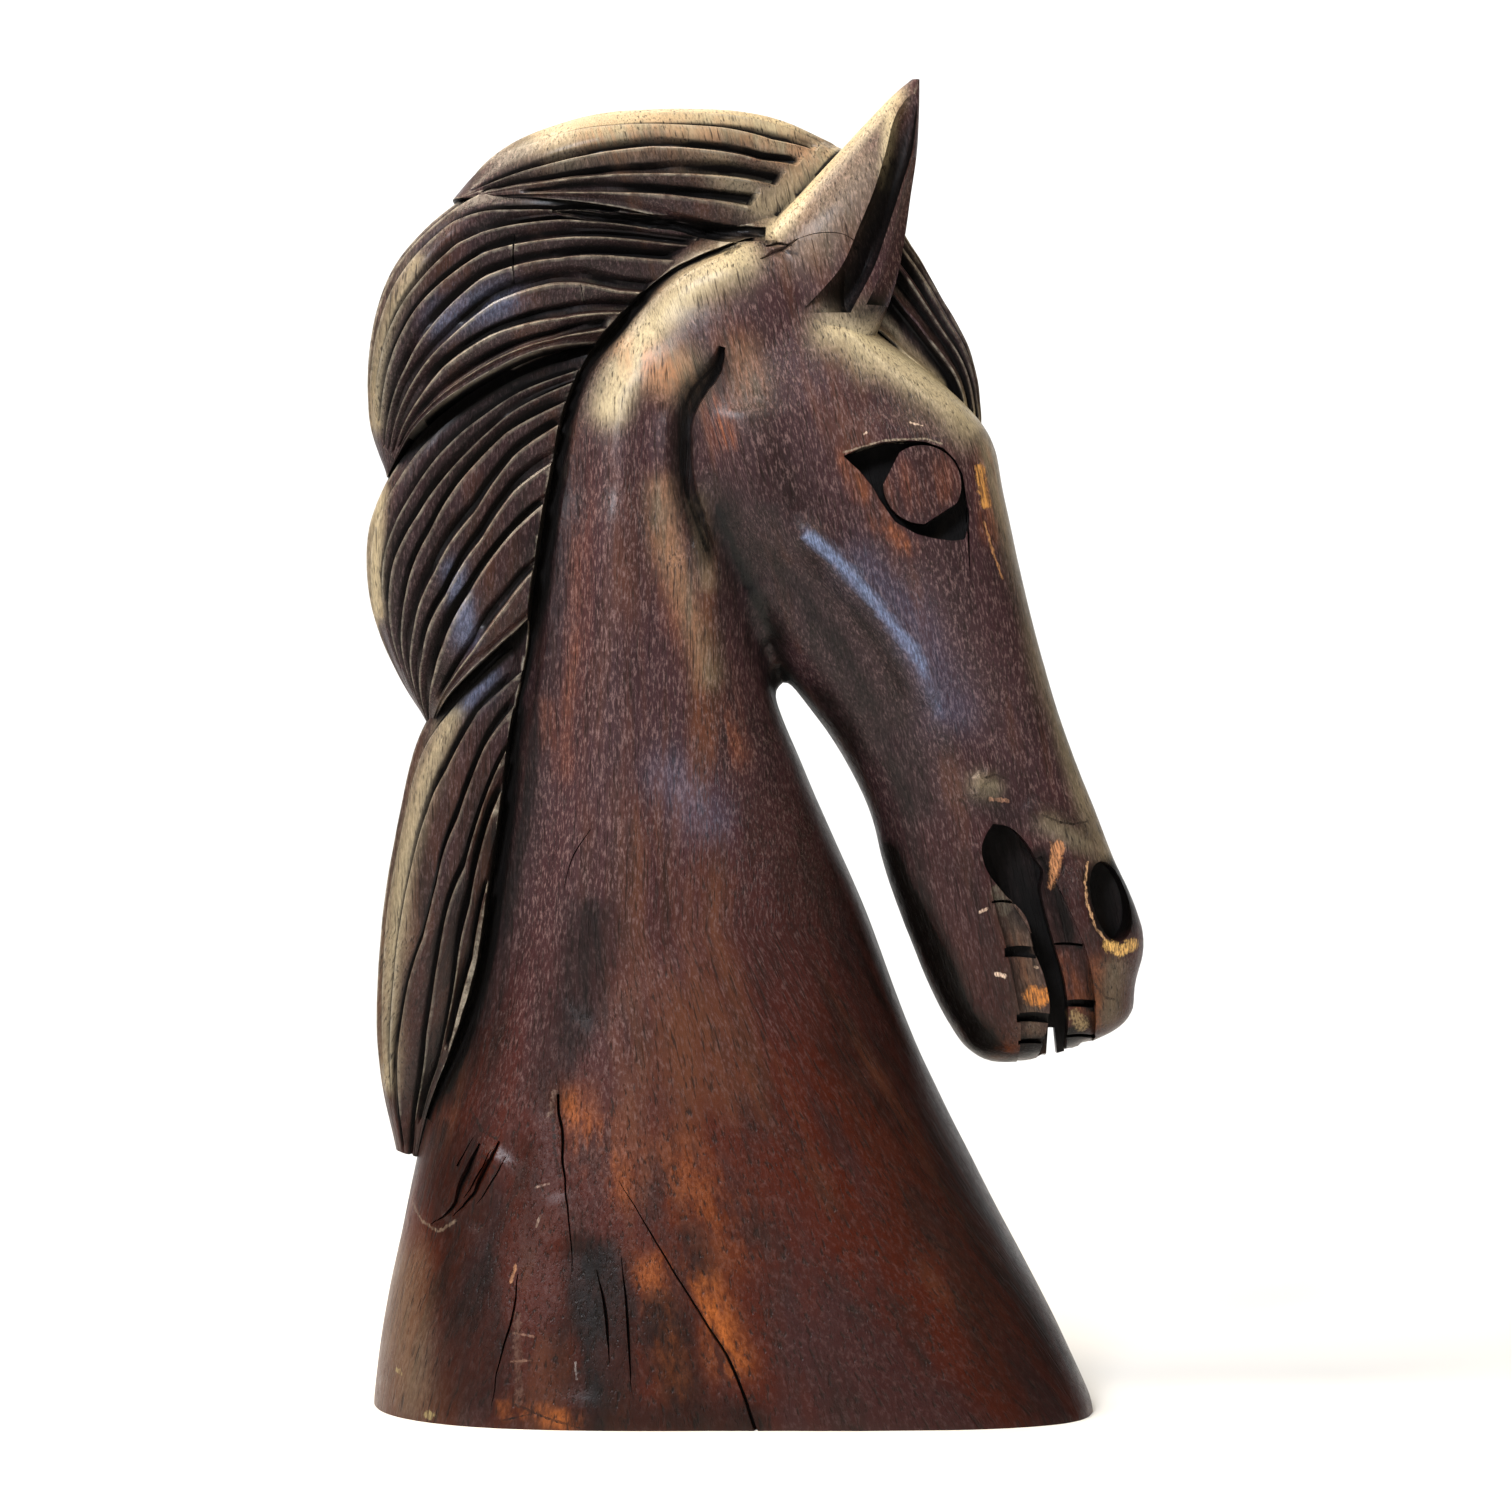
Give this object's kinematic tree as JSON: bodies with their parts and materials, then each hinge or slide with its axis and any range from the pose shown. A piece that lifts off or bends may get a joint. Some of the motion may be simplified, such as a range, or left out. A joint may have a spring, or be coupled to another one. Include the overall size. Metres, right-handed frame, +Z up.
{
  "type": "wooden horse sculpture",
  "caption": "Carved wooden horse head and neck with an arched, deeply grooved mane, standing on the flat cut foot of its neck; made to be set on a shelf or table.",
  "frame": {"origin": "middle of the foot's flat underside, where the carving stands", "axes": "+Z up to the tips of the ears, +X the way the horse faces, +Y across the head, with the middle plane at y = 0"},
  "size_m": [0.2975, 0.1536, 0.5],
  "materials": {
    "stained_wood": "dark walnut stain under a worn semi-gloss wax, with fine grain, drying cracks and rubbed warm patches"
  },
  "bodies": {
    "root": {"horse_head": "stained_wood"}
  },
  "joints": []
}
